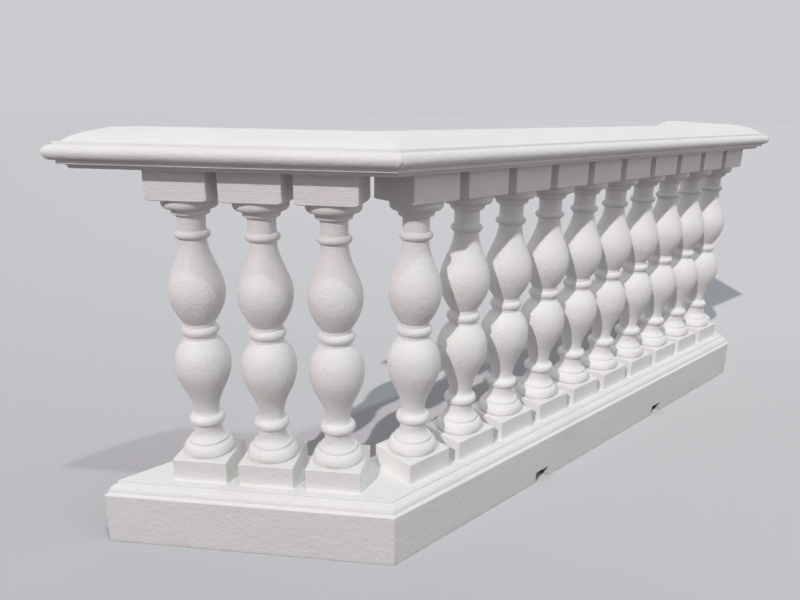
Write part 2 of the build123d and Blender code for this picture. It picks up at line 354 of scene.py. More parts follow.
@dataclass(frozen=True)
class MasonryCoat(Finish):
    """Textured masonry coat, an acrylic with fine sand, sprayed in two passes over cast stone.

    To the eye it is a clean matte white with a sandy grain. The grain is only
    seen where light grazes it, it softens every arris, and the white turns a
    little darker in broken marks along the lowest edge. Sizes are in millimetres.

    Attributes:
        name: The material's name.
        film, thin_film: The colour of a full coat, and where it is thin or has yellowed.
        cloud: The size of the patches where the spray passes overlap.
        low_edge_tone, low_edge_height, low_edge_mark_size: The darker colour mixed in along
        the lowest edge, how high it reaches, and the size of its marks.
        drawn_grit, grit_height: The size that the sand is drawn at, and how far it stands
            out. It really is 0.6, but one pixel of the render is about 2.5.
        level_draw: How long its marks are up and down, as a share of their length.
        orange_peel, peel_height: The size of the spray's own lumps, and how far they stand out.
        ridge, ridge_height: The spacing of the turning lines that show through on a turned
            piece, and how far they stand out. They really are about 2 apart, and are drawn
            coarser. No height means no lines.
        ior, roughness: Acrylic binder, matte with a trace of sheen.
    """

    name: str = "masonry_coat_sprayed"
    film: str = "#EDECEA"
    thin_film: str = "#E8E6E3"
    cloud: float = 160.0
    low_edge_tone: str = "#A9A196"
    low_edge_height: float = 14.0
    low_edge_mark_size: float = 30.0
    drawn_grit: float = 3.4
    grit_height: float = 0.95
    level_draw: float = 0.7
    orange_peel: float = 12.0
    peel_height: float = 1.3
    ridge: float = 7.0
    ridge_height: float = 0.0
    ior: float = 1.49
    roughness: float = 0.62

    def shader(self, add: AddNode, place: bpy.types.NodeSocket) -> bpy.types.Node:
        """Wire the coat: its white, the darker marks along the lowest edge, and the sand over the lumps over
        the turning lines.
        """
        haze = {"Vector": place, "Scale": scale(self.cloud), "Detail": 3.0, "Roughness": 0.55}
        clouds = add(Kind.NOISE, haze)
        thin = add(Kind.RANGE, {"Value": clouds, "From Min": 0.46, "From Max": 0.8})
        film, thin_film = to_linear(self.film), to_linear(self.thin_film)
        coat = add(Kind.MIX, {0: thin, 6: film, 7: thin_film}, data_type="RGBA")
        height = add(Kind.SPLIT, {0: place}).outputs["Z"]
        # Darker towards the lowest edge, up to 0.3 of the way to the darker colour, in broken marks
        lowest = {"Value": height, "From Min": self.low_edge_height * MM, "From Max": 0.0, "To Max": 0.3}
        low = add(Kind.RANGE, lowest, interpolation_type="SMOOTHSTEP")
        low_edge_noise = {"Vector": place, "Scale": scale(self.low_edge_mark_size), "Detail": 5.0, "Roughness": 0.7}
        marks = add(Kind.NOISE, low_edge_noise)
        broken = add(Kind.RANGE, {"Value": marks, "From Min": 0.38, "From Max": 0.66})
        low_edge_share = add(Kind.MATH, {0: low, 1: broken}, operation="MULTIPLY")
        colour = add(Kind.MIX, {0: low_edge_share, 6: coat, 7: to_linear(self.low_edge_tone)}, data_type="RGBA")
        under = {}
        if self.ridge_height:
            # The bands of a wave texture repeat every 2 pi / 20 of a unit at scale 1
            spacing = 2 * math.pi / 20 * scale(self.ridge)
            wave = {"Vector": place, "Scale": spacing, "Distortion": 1.6, "Detail": 2.0, "Detail Scale": 0.6}
            lines = add(Kind.WAVES, wave, wave_type="BANDS", bands_direction="Z").outputs["Fac"]
            under["Normal"] = add(Kind.BUMP, {"Height": lines, "Distance": self.ridge_height * MM})
        peel = add(Kind.NOISE, {"Vector": place, "Scale": scale(self.orange_peel), "Detail": 1.0})
        lumps = add(Kind.BUMP, {"Height": peel, "Distance": self.peel_height * MM, **under})
        # The spray passes are level, so the sand's marks are longer that way
        drawn = add(Kind.VECTOR, {0: place, 1: (self.level_draw, self.level_draw, 1.0)}, operation="MULTIPLY")
        grit = {"Vector": drawn, "Scale": scale(self.drawn_grit), "Detail": 2.0, "Roughness": 0.6}
        sand = add(Kind.NOISE, grit)
        grain = add(Kind.BUMP, {"Height": sand, "Distance": self.grit_height * MM, "Normal": lumps})
        dull = {"To Min": self.roughness - 0.05, "To Max": self.roughness + 0.06}
        roughness = add(Kind.RANGE, {"Value": clouds, "From Min": 0.3, "From Max": 0.7, **dull})
        look = {"Base Color": colour, "Roughness": roughness, "IOR": self.ior, "Normal": grain}
        return add(Kind.SHEEN, look)


@dataclass(frozen=True)
class BareStoneAndPaintedShade(Finish):
    """Cast stone as it left the mould, on the faces that nobody sees.

    To the eye it is a dry warm grey with sand and small air holes, mottled
    where the mix was wetter, and quite without shine. The grey is also kept
    dark as painted shade for the inside of the hollow. Sizes are in millimetres.

    Attributes:
        name: The material's name.
        dry, wet, patch: The colour of the dry face and of its darker patches, and their size.
        Both colours are darkened in part as painted shade.
        air_hole, hole_depth: The usual size of an air hole and its depth.
        hole_spacing: How many of its sizes one hole is from the next.
        sand, sand_height: The size of the sand and how far it stands out.
        ior, roughness: Cement and quartz sand with a dry mineral surface.
    """

    name: str = "cast_stone_bare_and_shade"
    # The grey inside the hollow is partly the bare stone's own and partly painted shade
    dry: str = "#B4AEA4"
    wet: str = "#99938A"
    patch: float = 50.0
    air_hole: float = 4.0
    hole_spacing: float = 4.0
    hole_depth: float = 1.0
    sand: float = 2.0
    sand_height: float = 0.5
    ior: float = 1.52
    roughness: float = 0.9

    def shader(self, add: AddNode, place: bpy.types.NodeSocket) -> bpy.types.Node:
        """Wire the stone: its mottled grey, and the sand over the air holes."""
        mottle = {"Vector": place, "Scale": scale(self.patch), "Detail": 6.0, "Roughness": 0.65}
        patches = add(Kind.NOISE, mottle)
        colour = add(Kind.MIX, {0: patches, 6: to_linear(self.dry), 7: to_linear(self.wet)}, data_type="RGBA")
        holes = add(Kind.CELLS, {"Vector": place, "Scale": scale(self.air_hole * self.hole_spacing)})
        pits = add(Kind.RANGE, {"Value": holes.outputs["Distance"], "From Min": 0.05, "From Max": 0.18})
        pitted = add(Kind.BUMP, {"Height": pits, "Distance": self.hole_depth * MM})
        sand = add(Kind.NOISE, {"Vector": place, "Scale": scale(self.sand), "Detail": 3.0})
        grain = add(Kind.BUMP, {"Height": sand, "Distance": self.sand_height * MM, "Normal": pitted})
        look = {"Base Color": colour, "Roughness": self.roughness, "IOR": self.ior, "Normal": grain}
        return add(Kind.SHEEN, look)


@dataclass
class Finishes:
    """The finishes that the pieces are dressed in.

    Attributes:
        coat: The coat on the rails.
        turned_coat: The same coat on the balusters, with their turning lines under it.
        bare_in_shade: The bare stone inside the base rails, darkened in part as painted shade.
    """

    coat: bpy.types.Material = field(default_factory=lambda: MasonryCoat().material())
    turned_coat: bpy.types.Material = field(
        default_factory=lambda: MasonryCoat("masonry_coat_on_turning", ridge_height=0.16).material()
    )
    # Bare stone for the hollow, its grey darkened in part as painted shade
    bare_in_shade: bpy.types.Material = field(default_factory=lambda: BareStoneAndPaintedShade().material())


# Meshes


def show(name: str, data: bpy.types.ID) -> bpy.types.Object:
    """Make an object of a mesh, a lamp or a camera, and link it to the scene."""
    made = bpy.data.objects.new(name, data)
    bpy.context.scene.collection.objects.link(made)
    return made


@contextmanager
def opened(mesh: bpy.types.Mesh) -> Iterator[bmesh.types.BMesh]:
    """Open a mesh for changes, and write them back at the end."""
    shell = bmesh.new()
    shell.from_mesh(mesh)
    yield shell
    shell.to_mesh(mesh)
    shell.free()


def new_piece(
    name: str, points: np.ndarray, faces: Sequence[Sequence[int]], finishes: Sequence[bpy.types.Material]
) -> bpy.types.Object:
    """Make a mesh piece from points in millimetres.

    Args:
        name: The piece's name.
        points: One row of x, y and z a point.
        faces: The corners of each face.
        finishes: The materials of the piece, the first for every face at the start.

    Returns:
        The new object, linked to the scene, with its faces turned outward.
    """
    mesh = bpy.data.meshes.new(name)
    mesh.from_pydata((points * MM).tolist(), [], faces)
    with opened(mesh) as shell:
        bmesh.ops.recalc_face_normals(shell, faces=shell.faces)
    for finish in finishes:
        mesh.materials.append(finish)
    return show(name, mesh)


def tube_faces(rows: int, columns: int) -> list[Sequence[int]]:
    """Corners of the faces of a tube made of closed rows of points, with its two ends last."""
    faces: list[Sequence[int]] = []
    for here in range(0, (rows - 1) * columns, columns):
        above = here + columns
        for i in range(columns):
            beside = (i + 1) % columns
            faces.append((here + i, here + beside, above + beside, above + i))
    last = (rows - 1) * columns
    return [*faces, list(range(columns)), list(range(last, last + columns))]


def settle(piece: bpy.types.Object, node: str) -> int:
    """Shade a piece, put it on the frame in place of its solid and count its triangles."""
    piece.data.shade_smooth()
    piece.data.set_sharp_from_angle(angle=math.radians(SHARP_ANGLE))
    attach(piece, "root")
    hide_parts(node)
    triangles = sum(len(face.vertices) - 2 for face in piece.data.polygons)
    log.info("%s: %d triangles", piece.name, triangles)
    return triangles


# Rails


@dataclass(frozen=True)
class Lump:
    """A small swelling or dent in a surface, such as filler on a joint or a knock.

    Attributes:
        station, depth, height: Where it is along the run, behind the face and above the ground.
        spread: Its radius in millimetres.
        rise: How far it stands out. A dent is less than nothing.
    """

    station: float
    depth: float
    height: float
    spread: float
    rise: float

    def at(self, station: np.ndarray, depth: np.ndarray, height: np.ndarray) -> np.ndarray:
        """How far it lifts the surface at the given places."""
        square = (station - self.station) ** 2 + (depth - self.depth) ** 2 + (height - self.height) ** 2
        return self.rise * np.exp(-((np.sqrt(square) / self.spread) ** 2))


@dataclass
class Rail:
    """A moulded rail: one section carried along a run between two cuts. Sizes are in millimetres.

    Attributes:
        name: The piece and the solid that it stands for.
        run: The run that it lies on.
        start, stop: Its end nearer the run's corner, and its other end.
        seed: What makes its surface its own.
        lumps: Filler and knocks.
        width: The width of the base rail, which the depths are measured on.
        ease: How far from an arris of its section the rounding starts.
        side_step, row_step: The longest side of its section, and the spacing of its rows.
        end_rows: Where the closer rows near each end lie.
        corner_radius: How round a mitred corner is.
        wall_ease: How far along the arris at the wall is eased, and how deep.
        joint_reach, joint_depth: How far along the line of a joint reaches, and how deep it is.
        unevenness, wave: How deep and how long the surface's waves are.
        true_end: How far from an end the waves reach their full depth.
    """

    name: str
    run: Run
    start: End
    stop: End
    seed: int
    lumps: tuple[Lump, ...] = ()
    width: float = 246.0
    ease: float = 2.0
    side_step: float = 9.0
    row_step: float = 12.0
    end_rows: tuple[float, ...] = (0.0, 0.6, 1.2, 1.9, 2.7, 3.4, 5.0, 7.0, 9.5, 12.5, 16.0)
    corner_radius: float = 7.0
    wall_ease: Point = (1.8, 1.1)
    joint_reach: float = 1.2
    joint_depth: float = 0.0
    unevenness: float = 0.5
    wave: float = 90.0
    true_end: float = 25.0

    def section(self) -> Profile:
        """The closed section as points of depth and height."""
        raise NotImplementedError

    def calm(self, depth: np.ndarray, height: np.ndarray) -> np.ndarray:
        """Nothing where the surface stays true, because another piece meets it there, and one elsewhere."""
        raise NotImplementedError

    def dress(self, piece: bpy.types.Object) -> None:
        """Whatever the piece still needs once its mesh is made. A solid rail needs nothing."""

    def levels(self) -> Point:
        """Its underside and its top in millimetres."""
        low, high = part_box(self.name)
        return low.z / MM, high.z / MM

    def end_inset(self, end: End, away: np.ndarray) -> np.ndarray:
        """How far the surface is drawn in at each distance from an end, in millimetres."""
        if end.cut is Cut.WALL:
            reach, depth = self.wall_ease
            return depth * np.clip(1 - away / reach, 0, 1) ** 2
        joint = self.joint_depth * np.clip(1 - away / self.joint_reach, 0, 1)
        if end.cut is Cut.BUTT:
            return joint
        tangent = self.corner_radius * math.tan(math.atan(abs(end.skew)))
        past = np.clip(tangent - away, 0, tangent)
        return joint + self.corner_radius - np.sqrt(self.corner_radius**2 - past**2)

    def build(self, finishes: Finishes) -> int:
        """Build the rail in the given finishes, put it on the frame and count its triangles."""
        outline = np.array(self.section())
        normals = outward_normals(outline)
        depth, height = outline[:, 0], outline[:, 1]
        first, last = self.start.stations(depth), self.stop.stations(depth)
        close = np.array(self.end_rows)
        rows = max(2, round((self.stop.reach - self.start.reach) / self.row_step))
        shares = np.linspace(0, 1, rows + 1)[1:-1]
        head, tail = first + close[:, None], last - close[::-1, None]
        middle = head[-1] + (tail[0] - head[-1]) * shares[:, None]
        station = np.concatenate([head, middle, tail])
        depth, height = (np.broadcast_to(values, station.shape) for values in (depth, height))
        from_start, from_stop = station - first, last - station

        waves = Unevenness(self.unevenness, self.wave, self.seed).at(self.run.place(station, depth, height))
        offset = -waves * np.clip(np.minimum(from_start, from_stop) / self.true_end - 0.1, 0, 1)
        offset -= self.end_inset(self.start, from_start)
        offset -= self.end_inset(self.stop, from_stop)
        for lump in self.lumps:
            offset += lump.at(station, depth, height)
        offset *= self.calm(depth, height)
        moved_depth, moved_height = depth + offset * normals[:, 0], height + offset * normals[:, 1]
        # Each row slides along the run as it moves in, so that a skewed end stays in its plane
        share = from_start / (from_start + from_stop)
        skew = self.start.skew * (1 - share) + self.stop.skew * share
        points = self.run.place(station + skew * (moved_depth - depth), moved_depth, moved_height)
        faces = tube_faces(*station.shape)
        piece = new_piece(self.name, points.reshape(-1, 3), faces, (finishes.coat, finishes.bare_in_shade))
        self.dress(piece)
        return settle(piece, self.name)


@dataclass
class TopRail(Rail):
    """A top rail: soffit, cove, fillet, bullnose, fillet, ledge and a cambered top with a raised table.

    Attributes:
        soffit_inset: How far behind the face the soffit starts.
        cove: The width and the height of the cove.
        fillet_depth: The depth of the fillet over it.
        nose_radius, nose_centre: The bullnose's radius, and the depth and the height of its centre.
        quirk: How far behind the centre the quirk over the bullnose lies, and how deep it is.
        ledge_rise: How far over the bullnose the ledge lies.
        table_depth, table_rise: Where the raised table starts, and how high over the camber it is.
    """

    soffit_inset: float = 15.0
    cove: Point = (7.0, 10.0)
    fillet_depth: float = -3.5
    nose_radius: float = 16.7
    nose_centre: Point = (-7.5, 1013.5)
    quirk: Point = (1.8, 1.6)
    ledge_rise: float = 7.0
    table_depth: float = 87.0
    table_rise: float = 3.0
    joint_depth: float = 0.5

    def section(self) -> Profile:
        """The closed section as points of depth and height."""
        soffit, top = self.levels()
        nose, middle = self.nose_centre
        cove_edge, cove_top = self.soffit_inset - self.cove[0], soffit + self.cove[1]
        crest = middle + self.nose_radius
        ledge = crest + self.ledge_rise
        cove_pull = (self.soffit_inset - 1, cove_top - 3)
        outline = [(self.width / 2, soffit)]
        outline += bend((self.soffit_inset, soffit), cove_pull, (cove_edge, cove_top), 5)
        outline += [(self.fillet_depth, cove_top), (self.fillet_depth, middle - self.nose_radius + 0.6)]
        outline += arc(self.nose_centre, self.nose_radius, 270, 90, 18)
        outline += [(nose + self.quirk[0], crest - self.quirk[1]), (nose + self.quirk[0], ledge)]
        # The ledge sweeps up into the camber, and the camber rolls over into the table
        spring, roll = (nose + 23, ledge + 5.6), (self.table_depth - 8, top - self.table_rise)
        outline += bend((nose + 12, ledge), (nose + 18, ledge + 0.5), spring, 6)
        outline += bend(spring, (spring[0] + 15, spring[1] + 12), roll, 9)[1:]
        outline += bend(roll, (self.table_depth - 1, top), (self.table_depth + 6, top), 4)[1:]
        outline.append((self.width / 2, top))
        half = divide(soften(outline, self.ease), self.side_step)
        return half + mirrored(half[1:-1], self.width)

    def calm(self, depth: np.ndarray, height: np.ndarray) -> np.ndarray:
        """The soffit stays true, because the head blocks meet it."""
        return np.where(height < self.levels()[0] + 0.01, 0.0, 1.0)


@dataclass
class BaseRail(Rail):
    """A hollow base rail: plain face, sloped ledge, ovolo, fillet and a flat top that carries the balusters.

    Attributes:
        wall, crown: How thick its walls and its top are.
        ledge: The width and the fall of the sloped ledge.
        ovolo: The radius of the ovolo.
        fillet: The height of the fillet and how far it is set back.
        seat: The depth that the flat top starts to be level at.
    """

    wall: float = 18.0
    crown: float = 26.0
    ledge: Point = (8.0, 4.0)
    ovolo: float = 18.0
    fillet: Point = (7.0, 1.5)
    seat: float = 40.0
    side_step: float = 10.0

    def section(self) -> Profile:
        """The closed section as points of depth and height."""
        _, top = self.levels()
        ovolo_top = top - self.fillet[0]
        ledge_top = ovolo_top - self.ovolo
        ledge_depth, ledge_fall = self.ledge
        set_back = ledge_depth + self.ovolo + self.fillet[1]
        inner_top = top - self.crown
        face = [(self.wall, 0.0), (0.0, 0.0), (0.0, ledge_top - ledge_fall), (ledge_depth, ledge_top)]
        face += arc((ledge_depth + self.ovolo, ledge_top), self.ovolo, 180, 90, 8)[1:]
        face += [(set_back, ovolo_top), (set_back, top), (self.width / 2, top)]
        outer = divide(soften(face, self.ease), self.side_step)
        inner = [(self.width / 2, inner_top), (2 * self.wall, inner_top), (self.wall, inner_top - self.wall)]
        inner = divide([*inner, (self.wall, 0.0)], 3 * self.side_step)
        back_outer, back_inner = mirrored(outer, self.width), mirrored(inner, self.width)
        return outer[:-1] + back_outer[:-1] + back_inner[:-1] + inner[:-1]

    def calm(self, depth: np.ndarray, height: np.ndarray) -> np.ndarray:
        """The top stays true under the foot blocks, and so does the rim on the ground."""
        _, top = self.levels()
        on_top = (height > top - 0.01) & (depth > self.seat) & (depth < self.width - self.seat)
        return np.where(on_top | (height < 0.01), 0.0, 1.0)

    def dress(self, piece: bpy.types.Object) -> None:
        """Give the faces inside the hollow and at its ends the bare stone, darkened in part as painted shade.
        """
        corner, inward = np.array(self.run.corner), np.array(self.run.inward)
        slack = 0.6
        inner_top = self.levels()[1] - self.crown + slack
        for face in piece.data.polygons:
            centre = np.array(face.center) / MM
            depth = float((centre - corner) @ inward)
            if self.wall - slack < depth < self.width - self.wall + slack and centre[2] < inner_top:
                # Inside the hollow: bare stone, darker in part as painted shade
                face.material_index = 1


@dataclass
class FrontBaseRail(BaseRail):
    """The front base rail, with two weep notches broken through its face and a chip in its lower edge.

    Attributes:
        notch_spacing: The distance between the notches, either side of the middle.
        notch_size: The width and the height of a notch.
        notch_corners: The radii of its upper left and its upper right corner.
        notch_depths, notch_shake: The depths that its broken sides are shaken at, down to the
            hollow, and how far.
        chip_station: Where the chip is, from the middle.
        chip_size, chip_length: How far the chip bites in, and its length in bites.
    """

    notch_spacing: float = 708.0
    notch_size: Point = (62.0, 36.0)
    notch_corners: Point = (6.0, 4.0)
    notch_depths: tuple[float, ...] = (-6.0, 0.0, 4.0, 9.0, 14.0, 18.0, 23.0)
    notch_shake: float = 0.45
    chip_station: float = 299.0
    chip_size: float = 6.0
    chip_length: float = 1.6

    def notch_tool(self, station: float, seed: int) -> bpy.types.Object:
        """A rough block that breaks a notch through the face.

        Args:
            station: The middle of the notch along the run.
            seed: What makes its edges its own.

        Returns:
            The block, to be taken away from the rail.
        """
        width, height = self.notch_size
        left, right = self.notch_corners
        below = -12.0
        corners = arc((left - width / 2, height - left), left, 180, 90, 4)
        corners += arc((width / 2 - right, height - right), right, 90, 0, 3)
        outline = divide([(-width / 2, below), *corners, (width / 2, below)], 4.0, closed=True)
        dice = np.random.default_rng(seed)
        rows = []
        for depth in self.notch_depths:
            shake = dice.normal(scale=self.notch_shake, size=(len(outline), 2))
            rows += [(station + x + dx, depth, z + dz) for (x, z), (dx, dz) in zip(outline, shake)]
        points = self.run.place(*np.array(rows).T)
        return new_piece("notch_tool", points, tube_faces(len(self.notch_depths), len(outline)), ())

    def chip_tool(self, station: float, seed: int) -> bpy.types.Object:
        """A rough pebble that knocks a chip out of the lower edge.

        Args:
            station: The middle of the chip along the run.
            seed: What makes the chip its own.

        Returns:
            The pebble, to be taken away from the rail.
        """
        mesh = bpy.data.meshes.new("chip_tool")
        dice = np.random.default_rng(seed)
        middle = self.run.corner + self.run.along * station + self.run.inward * -1.5 + Vector((0, 0, -1.0))
        with opened(mesh) as pebble:
            bmesh.ops.create_icosphere(pebble, subdivisions=2, radius=1.0)
            for vertex in pebble.verts:
                size = self.chip_size * dice.uniform(0.8, 1.25)
                x, y, z = vertex.co
                vertex.co = (middle + Vector((x * size * self.chip_length, y * size, z * size))) * MM
        return show("chip_tool", mesh)

    def take_away(self, piece: bpy.types.Object, tool: bpy.types.Object) -> None:
        """Cut the tool's shape out of the piece and throw the tool away.

        Args:
            piece: The piece that is cut.
            tool: The shape to cut out.
        """
        cut = piece.modifiers.new("cut", "BOOLEAN")
        cut.operation = "DIFFERENCE"
        cut.solver = "EXACT"
        cut.object = tool
        graph = bpy.context.evaluated_depsgraph_get()
        carved = bpy.data.meshes.new_from_object(piece.evaluated_get(graph))
        piece.modifiers.clear()
        whole, shape = piece.data, tool.data
        piece.data = carved
        bpy.data.objects.remove(tool)
        for spent in (whole, shape):
            bpy.data.meshes.remove(spent)

    def dress(self, piece: bpy.types.Object) -> None:
        """Break the notches and the chip out, and leave the stone inside bare, darkened in part as painted
        shade.
        """
        middle = self.stop.reach / 2
        for side in (-1, 1):
            station = middle + side * self.notch_spacing / 2
            self.take_away(piece, self.notch_tool(station, self.seed + 2 + side))
        self.take_away(piece, self.chip_tool(middle + self.chip_station, self.seed + 5))
        super().dress(piece)


# Balusters


@dataclass
class Turning:
    """The turned outline of a baluster, as radius and height in millimetres.

    Attributes:
        foot, head: The top of the foot block and the underside of the head block.
        torus_height, collar_height: The heights of the torus and of the collar on it.
        ring_rise, crest_rise, waist_rise: How far over the foot block the lower neck ring
            starts, the lower bulb is widest and the waist starts.
        waist_height: The height of the waist.
        crest_fall, stem_fall: How far under the head block the upper bulb is widest and the
            upper neck ring starts.
        neck, waist, stem: The radii of the lower neck, the waist and the upper neck.
        lower_bulb, upper_bulb: The greatest radii of the bulbs.
    """

    foot: float
    head: float
    torus_height: float = 31.0
    collar_height: float = 7.5
    ring_rise: float = 78.0
    waist_rise: float = 320.0
    waist_height: float = 41.0
    crest_rise: float = 245.0
    crest_fall: float = 233.4
    stem_fall: float = 98.5
    neck: float = 35.2
    waist: float = 39.0
    stem: float = 34.3
    lower_bulb: float = 71.0
    upper_bulb: float = 69.5

    def bead(self, low: float, high: float, reach: float, root: float, steps: int) -> Profile:
        """A half-round ring from low to high, with its greatest radius and the radius it springs from."""
        half = (high - low) / 2
        spring = math.degrees(math.acos(min(1.0, max(0.0, (root - reach + half) / half))))
        return arc((reach - half, (low + high) / 2), half, -spring, spring, steps)

    def round_side(self, waist: Point, crest: Point, fullness: float) -> Profile:
        """The round side of a bulb from its waist to its crest, in ten chords."""
        # Chords are shorter near the waist, where the curve turns fastest
        shares = [math.sin(math.pi / 2 * (1 - step / 10)) for step in range(11)]
        swell, rise = crest[0] - waist[0], waist[1] - crest[1]
        return [(crest[0] - swell * t**fullness, crest[1] + rise * t) for t in shares]

    def slim_side(self, crest: Point, stem: Point) -> Profile:
        """The side of a bulb that is drawn in to its stem, from its crest, in sixteen chords."""
        swing, rise = (crest[0] - stem[0]) / 2, stem[1] - crest[1]
        shares = [step / 16 for step in range(17)]
        return [(stem[0] + swing * (1 + math.cos(math.pi * t)), crest[1] + rise * t) for t in shares]

    def outline(self) -> Profile:
        """The whole outline from the foot block up to the head block."""
        up, down = self.foot, self.head
        torus_top = up + self.torus_height
        collar_top = torus_top + self.collar_height
        ring_low = up + self.ring_rise
        stem_low = ring_low + 32
        waist_low = up + self.waist_rise
        waist_high = waist_low + self.waist_height
        ring_high = down - self.stem_fall
        low_crest = (self.lower_bulb, up + self.crest_rise)
        high_crest = (self.upper_bulb, down - self.crest_fall)
        # A low torus, drawn in at its foot and flat on top, and a step up to the collar
        outline = [(59.0, up), (61.6, up + 1.0), (63.8, up + 2.9), (65.4, up + 5.7)]
        rolls = np.linspace(0, 1.47, 12)
        outline += [(52.0 + 14.3 * math.cos(a) ** 1.15, up + 8.5 + 21.5 * math.sin(a)) for a in rolls]
        outline += [(51.2, torus_top), (51.0, collar_top - 2), (49.6, collar_top + 0.6)]
        outline += [(46.4, collar_top + 2.0), (44.6, collar_top + 2.2), (43.8, collar_top + 4.4)]
        # The flare and the lower neck ring
        outline += bend((43.2, collar_top + 5.2), (38.2, collar_top + 9), (35.6, collar_top + 20), 7)
        outline += [(self.neck, ring_low)]
        outline += self.bead(ring_low, ring_low + 28.6, 46.4, self.neck, 12)
        outline += [(33.5, stem_low)]
        # Both bulbs, with the waist ring between them
        outline += reversed(self.slim_side(low_crest, (32.0, stem_low + 4)))
        outline += list(reversed(self.round_side((39.5, waist_low), low_crest, 2.5)))[1:]
        outline += [(self.waist, waist_low + 6)]
        outline += self.bead(waist_low + 6, waist_high - 7, 47.0, self.waist, 10)
        outline += [(self.waist, waist_high - 7)]
        outline += self.round_side((38.2, waist_high), high_crest, 2.0)
        outline += self.slim_side(high_crest, (33.6, ring_high))[1:]
        # The upper neck ring, the cavetto with its lip, and the echinus
        outline += self.bead(ring_high, ring_high + 20.5, 43.3, 33.8, 10)
        outline += [(34.0, ring_high + 21), (self.stem, down - 50)]
        outline += bend((self.stem, down - 46), (35.0, down - 40.0), (44.4, down - 38.2), 6)[1:]
        outline += [(47.2, down - 28), (50.5, down - 25.5)]
        outline += arc((52.5, down - 10), 15.0, -60, 0, 8)
        return [*outline, (67.5, down)]


@dataclass
class Baluster:
    """One baluster, turned between a square foot block and a square head block. Sizes are in millimetres.

    Attributes:
        name: The piece and the solid that it stands for.
        yaw: How far its blocks are turned from the front run, in radians.
        seed: What makes its surface its own.
        wear: How far the free corners of the head block are worn back, and the foot's 0.3 of it.
        foot_width, foot_height: The size of the foot block.
        head_width, head_height: The size of the head block.
        arris: How far the arrises of the blocks are eased.
        worn_patch: How far in and how far down the wear reaches from a corner.
        foot_shoulder, head_shoulder: How far in from the block's side the square part of the
            ring between block and turning lies, and the radius of its round part.
        squareness: The square part's share of that ring.
        ease, chord: How far from an edge of the turning its rounding starts, and the longest
            chord of its outline.
        side_steps, corner_steps: Chords along each side of a block and round each corner.
        unevenness, wave: How deep and how long the surface's waves are.
    """

    name: str
    yaw: float
    seed: int
    wear: float = 1.5
    foot_width: float = 145.0
    foot_height: float = 60.0
    head_width: float = 150.0
    head_height: float = 73.0
    arris: float = 2.4
    worn_patch: Point = (8.0, 20.0)
    foot_shoulder: Point = (8.0, 66.0)
    head_shoulder: Point = (6.0, 69.0)
    squareness: float = 0.45
    ease: float = 1.4
    chord: float = 11.0
    side_steps: int = 16
    corner_steps: int = 4
    unevenness: float = 0.45
    wave: float = 55.0

    def ring_angles(self) -> np.ndarray:
        """Angles of the points of a round ring, matched to the points of a square one."""
        count = 4 * (self.side_steps + self.corner_steps)
        shift = math.pi / 4 - math.pi * self.corner_steps / count
        return shift + np.arange(count) * 2 * math.pi / count

    def square_ring(self, half_width: float, ease: float) -> np.ndarray:
        """Points of a square ring with eased corners, one row of x and y each, corner by corner."""
        inner = half_width - ease
        quarter = arc((inner, inner), ease, 0, 90, self.corner_steps)[:-1]
        sides = [1 - 2 * step / self.side_steps for step in range(self.side_steps)]
        ring = np.array(quarter + [(inner * share, half_width) for share in sides])
        turns = []
        for corner in range(4):
            c, s = math.cos(corner * math.pi / 2), math.sin(corner * math.pi / 2)
            turns.append(ring @ np.array([[c, s], [-s, c]]))
        return np.concatenate(turns)

    def rings(self, bottom: float, top: float) -> list[np.ndarray]:
        """All rings of the baluster from the bottom up, at the origin.

        Args:
            bottom: The underside of the foot block.
            top: The top of the head block.

        Returns:
            For each ring, one row of x, y and z a point.
        """
        foot, head = bottom + self.foot_height, top - self.head_height
        half_foot, half_head = self.foot_width / 2, self.head_width / 2
        angles = self.ring_angles()
        unit = np.stack([np.cos(angles), np.sin(angles)], axis=1)
        rings: list[np.ndarray] = []

        def add(flat: np.ndarray, height: float | np.ndarray) -> None:
            """Add one ring."""
            rings.append(np.column_stack([flat, np.broadcast_to(height, len(flat))]))

        def add_shoulder(half: float, shoulder: Point, height: float) -> None:
            """Add the ring between a block and the turning, partly square and partly round."""
            square = self.square_ring(half - shoulder[0], 6.0)
            add(square * self.squareness + unit * shoulder[1] * (1 - self.squareness), height)

        def add_block(half: float, low: float, high: float, free_edge_high: bool, wear: float) -> None:
            """Add the sides of a block, flared where it meets a rail, and eased and worn where it is free."""
            ease, tall = self.arris, high - low
            worn_in, worn_down = self.worn_patch
            quarter = np.linspace(0, math.pi / 2, 5)
            free = [(-ease + ease * math.cos(a), -ease + ease * math.sin(a)) for a in quarter]
            # The coat fills the corner at the rail, as how far out and how far along the side
            sides = [(1.3, 0.0), (0.55, 0.5), (0.15, 1.2), (0.0, 2.2)]
            sides += [(0.0, level) for level in np.linspace(3.5, tall - ease - 1.2, 7)]
            sides += [(spread, tall + rise) for spread, rise in free]
            for spread, rise in sides if free_edge_high else reversed(sides):
                flat = self.square_ring(half + spread, ease + spread if spread < 0 else ease)
                to_corner, to_edge = half - np.abs(flat).min(axis=1), tall - rise
                worn = wear * np.clip(1 - to_corner / worn_in, 0, 1) ** 2 * max(0.0, 1 - to_edge / worn_down)
                add(flat, low + rise - worn if free_edge_high else high - rise + worn)

        add_block(half_foot, bottom, foot, True, 0.3 * self.wear)
        add_shoulder(half_foot, self.foot_shoulder, foot)
        for radius, height in divide(soften(Turning(foot, head).outline(), self.ease), self.chord):
            add(unit * radius, height)
        add_shoulder(half_head, self.head_shoulder, head)
        add_block(half_head, head, top, False, self.wear)
        return rings

    def mesh(self, finishes: Finishes) -> bpy.types.Object:
        """Build the baluster's mesh where its solid stands, in the given finishes."""
        low, high = (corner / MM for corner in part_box(self.name))
        rings = np.array(self.rings(low.z, high.z))
        ahead = np.roll(rings, -1, axis=1) - np.roll(rings, 1, axis=1)
        normals = np.cross(ahead, np.gradient(rings, axis=0))
        normals /= np.maximum(np.linalg.norm(normals, axis=2, keepdims=True), 1e-9)
        wander = Unevenness(self.unevenness, self.wave, self.seed).at(rings)
